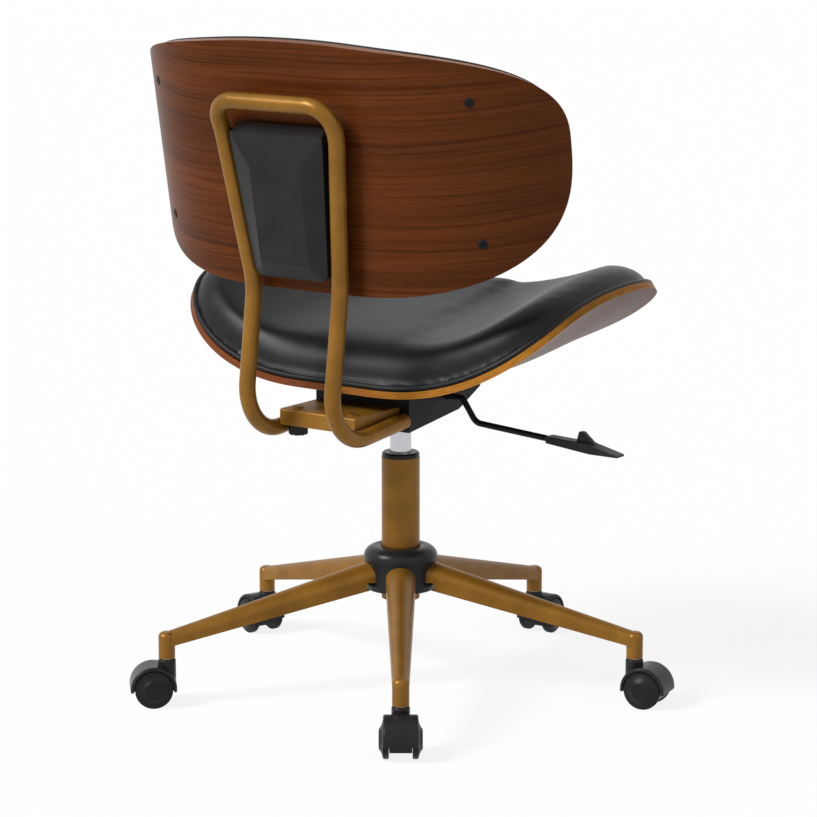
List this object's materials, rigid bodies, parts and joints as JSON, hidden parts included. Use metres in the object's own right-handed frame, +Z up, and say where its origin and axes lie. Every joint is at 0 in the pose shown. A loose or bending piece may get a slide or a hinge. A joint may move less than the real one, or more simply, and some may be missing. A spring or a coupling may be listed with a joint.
{
  "type": "office chair",
  "caption": "Swivel office chair with bent walnut seat and wrap-around back, black leather pads, bronze tube back frame, gas lift column and star base on twin-wheel casters.",
  "frame": {"origin": "on the floor under the column's axis, which is also the middle of the star base", "axes": "+Z up along the column; the chair faces -Y, so the back is at +Y; +X is the sitter's left"},
  "size_m": [0.7056, 0.6727, 0.8649],
  "materials": {
    "walnut": "satin lacquered walnut veneer",
    "leather": "smooth satin black leather",
    "bronze": "satin antique bronze",
    "chrome": "polished chrome",
    "black_plastic": "fine grained",
    "wheel_nylon": "semi gloss nylon",
    "black_steel": "black powder coat",
    "steel": "zinc plated",
    "rubber": "matt"
  },
  "bodies": {
    "base": {"base_hub": "bronze", "base_leg_1": "bronze", "base_leg_2": "bronze", "base_leg_3": "bronze", "base_leg_4": "bronze", "base_leg_5": "bronze", "hub_cover": "black_plastic", "column_tube": "bronze", "guide_sleeve": "black_plastic", "thrust_bearing": "steel"},
    "swivel_rod": {"piston_rod": "steel", "retaining_clip": "steel", "rubber_bumper": "rubber"},
    "seat": {"gas_cylinder": "chrome", "taper_socket": "black_steel", "mechanism_tub": "black_steel", "seat_plate": "black_steel", "seat_bolts": "steel", "lever_pivot": "steel", "seat_shell": "walnut", "seat_cushion": "leather", "back_frame": "bronze", "frame_bracket": "bronze", "back_plate": "black_steel", "back_bolts": "steel", "back_cover": "black_plastic", "back_shell": "walnut", "back_screws": "black_steel", "back_cushion": "leather"},
    "lever": {"lever_rod": "black_steel", "lever_grip": "black_plastic"},
    "release": {"release_pin": "steel"},
    "knob_left": {"clamp_knob_left": "black_plastic"},
    "knob_right": {"clamp_knob_right": "black_plastic"},
    "caster_1": {"caster_1_hood": "black_plastic", "caster_1_stem": "steel", "caster_1_axle": "steel"},
    "caster_1_left": {"caster_1_wheel_left": "wheel_nylon"},
    "caster_1_right": {"caster_1_wheel_right": "wheel_nylon"},
    "caster_2": {"caster_2_hood": "black_plastic", "caster_2_stem": "steel", "caster_2_axle": "steel"},
    "caster_2_left": {"caster_2_wheel_left": "wheel_nylon"},
    "caster_2_right": {"caster_2_wheel_right": "wheel_nylon"},
    "caster_3": {"caster_3_hood": "black_plastic", "caster_3_stem": "steel", "caster_3_axle": "steel"},
    "caster_3_left": {"caster_3_wheel_left": "wheel_nylon"},
    "caster_3_right": {"caster_3_wheel_right": "wheel_nylon"},
    "caster_4": {"caster_4_hood": "black_plastic", "caster_4_stem": "steel", "caster_4_axle": "steel"},
    "caster_4_left": {"caster_4_wheel_left": "wheel_nylon"},
    "caster_4_right": {"caster_4_wheel_right": "wheel_nylon"},
    "caster_5": {"caster_5_hood": "black_plastic", "caster_5_stem": "steel", "caster_5_axle": "steel"},
    "caster_5_left": {"caster_5_wheel_left": "wheel_nylon"},
    "caster_5_right": {"caster_5_wheel_right": "wheel_nylon"}
  },
  "joints": [
    {"name": "seat_swivel", "type": "hinge", "parent": "base", "child": "swivel_rod", "pos_m": [0, 0, 0.2], "axis": [0, 0, 1], "continuous": true},
    {"name": "seat_height", "type": "slide", "parent": "swivel_rod", "child": "seat", "axis": [0, 0, 1], "range_m": [0, 0.1]},
    {"name": "lever_lift", "type": "hinge", "parent": "seat", "child": "lever", "pos_m": [-0.04, 0, 0.3955], "axis": [0, 1, 0], "range_deg": [0, 5], "stiffness_Nm_per_rad": 4},
    {"name": "release_press", "type": "slide", "parent": "seat", "child": "release", "axis": [0, 0, -1], "range_m": [0, 0.0036]},
    {"name": "knob_left_turn", "type": "hinge", "parent": "seat", "child": "knob_left", "pos_m": [0.043, 0.162, 0.371], "axis": [0, 0, 1], "range_deg": [0, 360]},
    {"name": "knob_right_turn", "type": "hinge", "parent": "seat", "child": "knob_right", "pos_m": [-0.043, 0.162, 0.371], "axis": [0, 0, 1], "range_deg": [0, 360]},
    {"name": "caster_1_swivel", "type": "hinge", "parent": "base", "child": "caster_1", "pos_m": [-0.18633, 0.25646, 0.08], "axis": [0, 0, 1], "continuous": true},
    {"name": "caster_1_left_roll", "type": "hinge", "parent": "caster_1", "child": "caster_1_left", "pos_m": [-0.19691, 0.27102, 0.0245], "axis": [-0.809, -0.5878, 0], "continuous": true},
    {"name": "caster_1_right_roll", "type": "hinge", "parent": "caster_1", "child": "caster_1_right", "pos_m": [-0.19691, 0.27102, 0.0245], "axis": [-0.809, -0.5878, 0], "continuous": true},
    {"name": "caster_2_swivel", "type": "hinge", "parent": "base", "child": "caster_2", "pos_m": [-0.30149, -0.09796, 0.08], "axis": [0, 0, 1], "continuous": true},
    {"name": "caster_2_left_roll", "type": "hinge", "parent": "caster_2", "child": "caster_2_left", "pos_m": [-0.31915, -0.10139, 0.0245], "axis": [0.1908, -0.9816, 0], "continuous": true},
    {"name": "caster_2_right_roll", "type": "hinge", "parent": "caster_2", "child": "caster_2_right", "pos_m": [-0.31915, -0.10139, 0.0245], "axis": [0.1908, -0.9816, 0], "continuous": true},
    {"name": "caster_3_swivel", "type": "hinge", "parent": "base", "child": "caster_3", "pos_m": [0, -0.317, 0.08], "axis": [0, 0, 1], "continuous": true},
    {"name": "caster_3_left_roll", "type": "hinge", "parent": "caster_3", "child": "caster_3_left", "pos_m": [0.00063, -0.33499, 0.0245], "axis": [0.9994, 0.0349, 0], "continuous": true},
    {"name": "caster_3_right_roll", "type": "hinge", "parent": "caster_3", "child": "caster_3_right", "pos_m": [0.00063, -0.33499, 0.0245], "axis": [0.9994, 0.0349, 0], "continuous": true},
    {"name": "caster_4_swivel", "type": "hinge", "parent": "base", "child": "caster_4", "pos_m": [0.30149, -0.09796, 0.08], "axis": [0, 0, 1], "continuous": true},
    {"name": "caster_4_left_roll", "type": "hinge", "parent": "caster_4", "child": "caster_4_left", "pos_m": [0.3184, -0.10411, 0.0245], "axis": [0.342, 0.9397, 0], "continuous": true},
    {"name": "caster_4_right_roll", "type": "hinge", "parent": "caster_4", "child": "caster_4_right", "pos_m": [0.3184, -0.10411, 0.0245], "axis": [0.342, 0.9397, 0], "continuous": true},
    {"name": "caster_5_swivel", "type": "hinge", "parent": "base", "child": "caster_5", "pos_m": [0.18633, 0.25646, 0.08], "axis": [0, 0, 1], "continuous": true},
    {"name": "caster_5_left_roll", "type": "hinge", "parent": "caster_5", "child": "caster_5_left", "pos_m": [0.19949, 0.26873, 0.0245], "axis": [-0.682, 0.7314, 0], "continuous": true},
    {"name": "caster_5_right_roll", "type": "hinge", "parent": "caster_5", "child": "caster_5_right", "pos_m": [0.19949, 0.26873, 0.0245], "axis": [-0.682, 0.7314, 0], "continuous": true}
  ],
  "couplings": [
    {"joint": "release_press", "follows": "lever_lift", "m_per_rad": 0.04}
  ]
}
